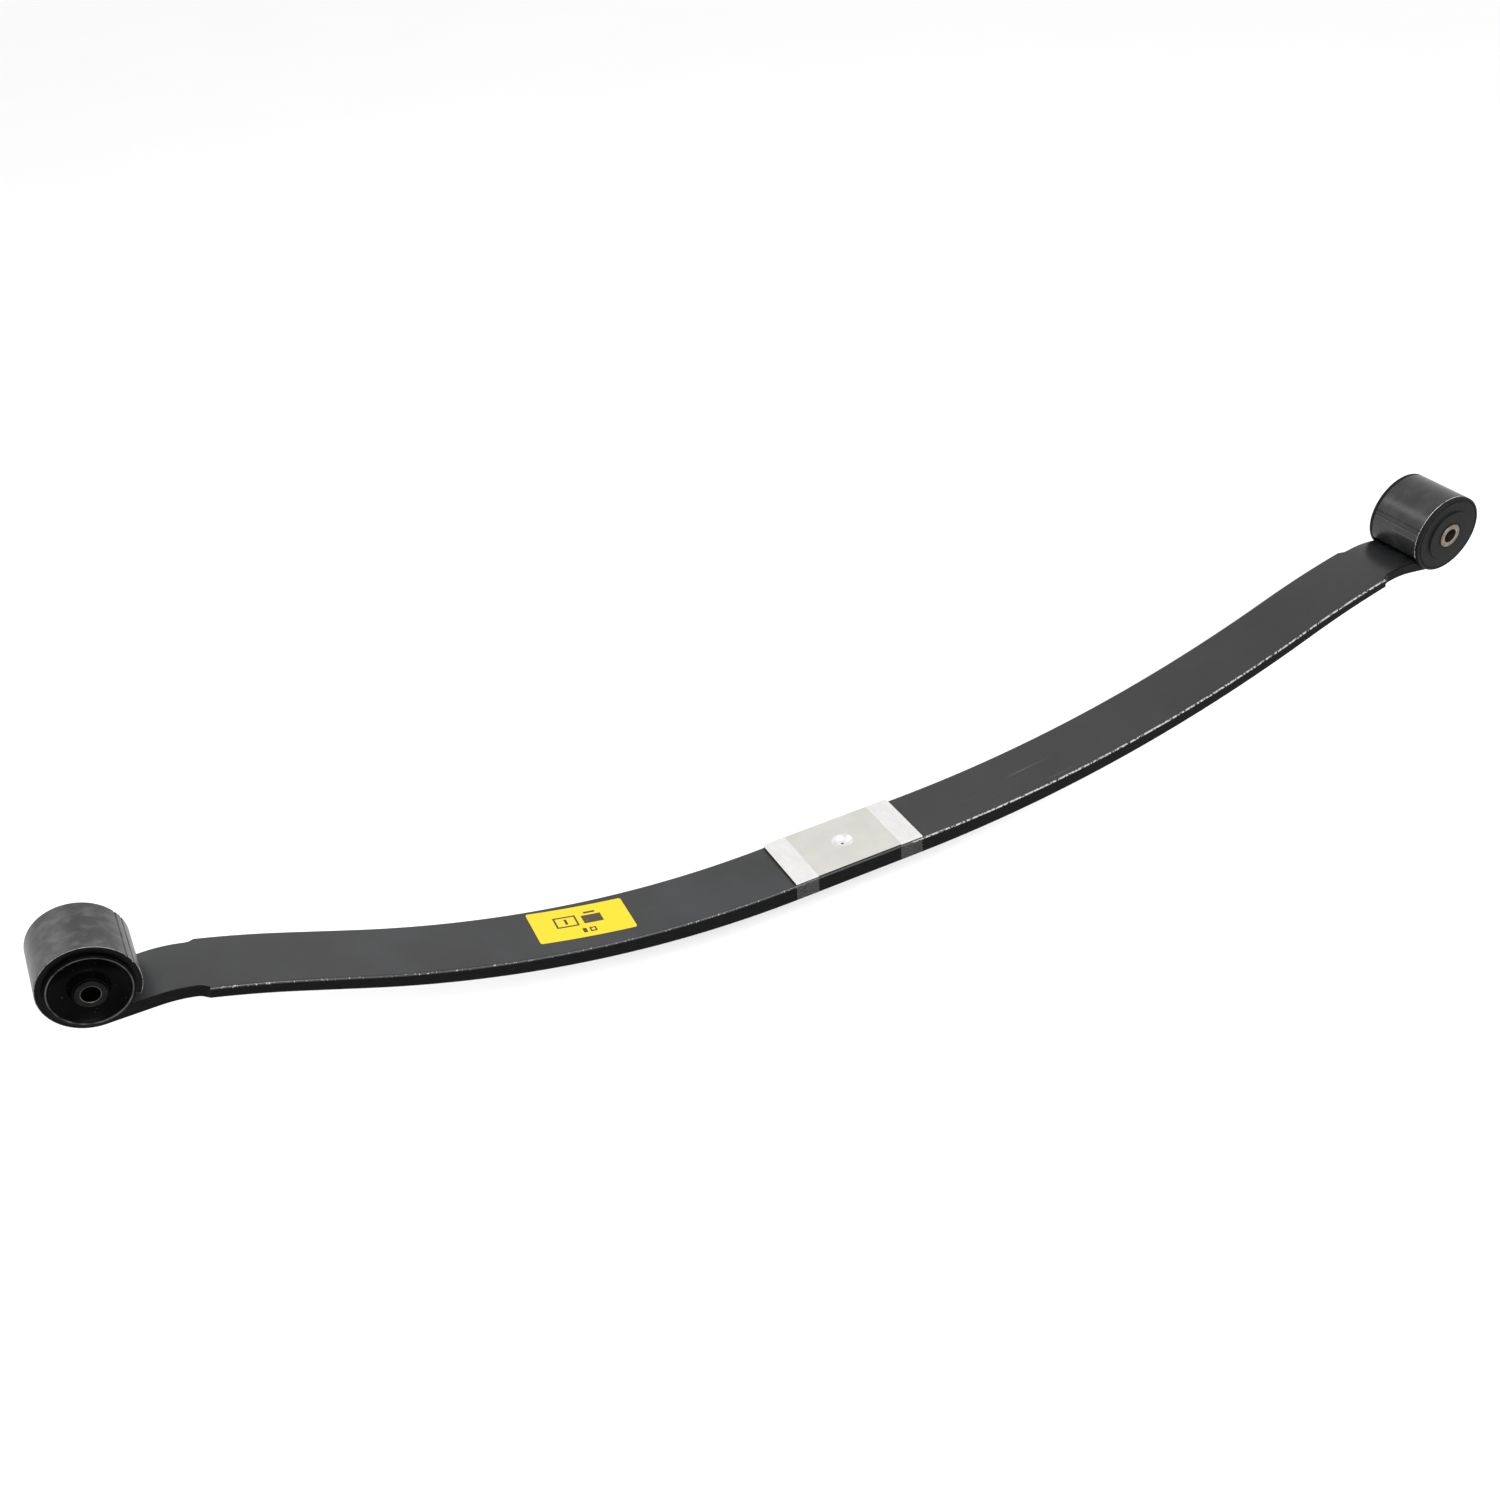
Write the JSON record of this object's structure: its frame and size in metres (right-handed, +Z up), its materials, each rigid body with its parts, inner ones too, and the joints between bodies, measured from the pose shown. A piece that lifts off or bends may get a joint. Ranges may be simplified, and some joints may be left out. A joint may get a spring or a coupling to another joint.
{
  "type": "leaf spring",
  "caption": "Upswept single tapered leaf spring with cropped necks and an upturned rubber-bushed eye at each end, a dimpled seat plate taped at the centre.",
  "frame": {"origin": "centre of the leaf's underside at the axle seat, on the axis of the centre hole, at the hole's mouth", "axes": "+X along the leaf towards the rear (longer) eye, +Y across the leaf, +Z up, the way the eyes curve"},
  "size_m": [1.4493, 0.076, 0.2201],
  "materials": {
    "leaf_paint": "black paint, glossy, light orange peel",
    "plate_sheet": "matt zinc-coated sheet",
    "tape": "translucent film tape",
    "label": "matt yellow film",
    "bush_shell": "dark phosphated steel",
    "bush_rubber": "moulded rubber, satin",
    "sleeve_dark": "black coated end, bare bore",
    "sleeve_bare": "bare turned steel"
  },
  "bodies": {
    "seat": {"main_leaf": "leaf_paint", "seat_plate": "plate_sheet", "tape_band_front": "tape", "tape_band_rear": "tape", "load_label": "label"},
    "front_eye": {"front_bush_outer_sleeve": "bush_shell", "front_bush_rubber": "bush_rubber"},
    "front_sleeve": {"front_bush_inner_sleeve": "sleeve_dark"},
    "rear_eye": {"rear_bush_outer_sleeve": "bush_shell", "rear_bush_rubber": "bush_rubber"},
    "rear_sleeve": {"rear_bush_inner_sleeve": "sleeve_bare"}
  },
  "joints": [
    {"name": "front_arm_flex", "type": "hinge", "parent": "seat", "child": "front_eye", "pos_m": [-0.20639, 0, 0.01824], "axis": [0, -1, 0], "range_deg": [-2, 18], "stiffness_Nm_per_rad": 11600, "deforming": ["main_leaf"]},
    {"name": "rear_arm_flex", "type": "hinge", "parent": "seat", "child": "rear_eye", "pos_m": [0.2138, 0, 0.01667], "axis": [0, 1, 0], "range_deg": [-2, 18], "stiffness_Nm_per_rad": 11600, "deforming": ["main_leaf"]},
    {"name": "front_sleeve_twist", "type": "hinge", "parent": "front_eye", "child": "front_sleeve", "pos_m": [-0.66983, 0, 0.18075], "axis": [0, 1, 0], "range_deg": [-20, 20], "stiffness_Nm_per_rad": 86},
    {"name": "rear_sleeve_twist", "type": "hinge", "parent": "rear_eye", "child": "rear_sleeve", "pos_m": [0.70141, 0, 0.15035], "axis": [0, 1, 0], "range_deg": [-20, 20], "stiffness_Nm_per_rad": 86}
  ]
}
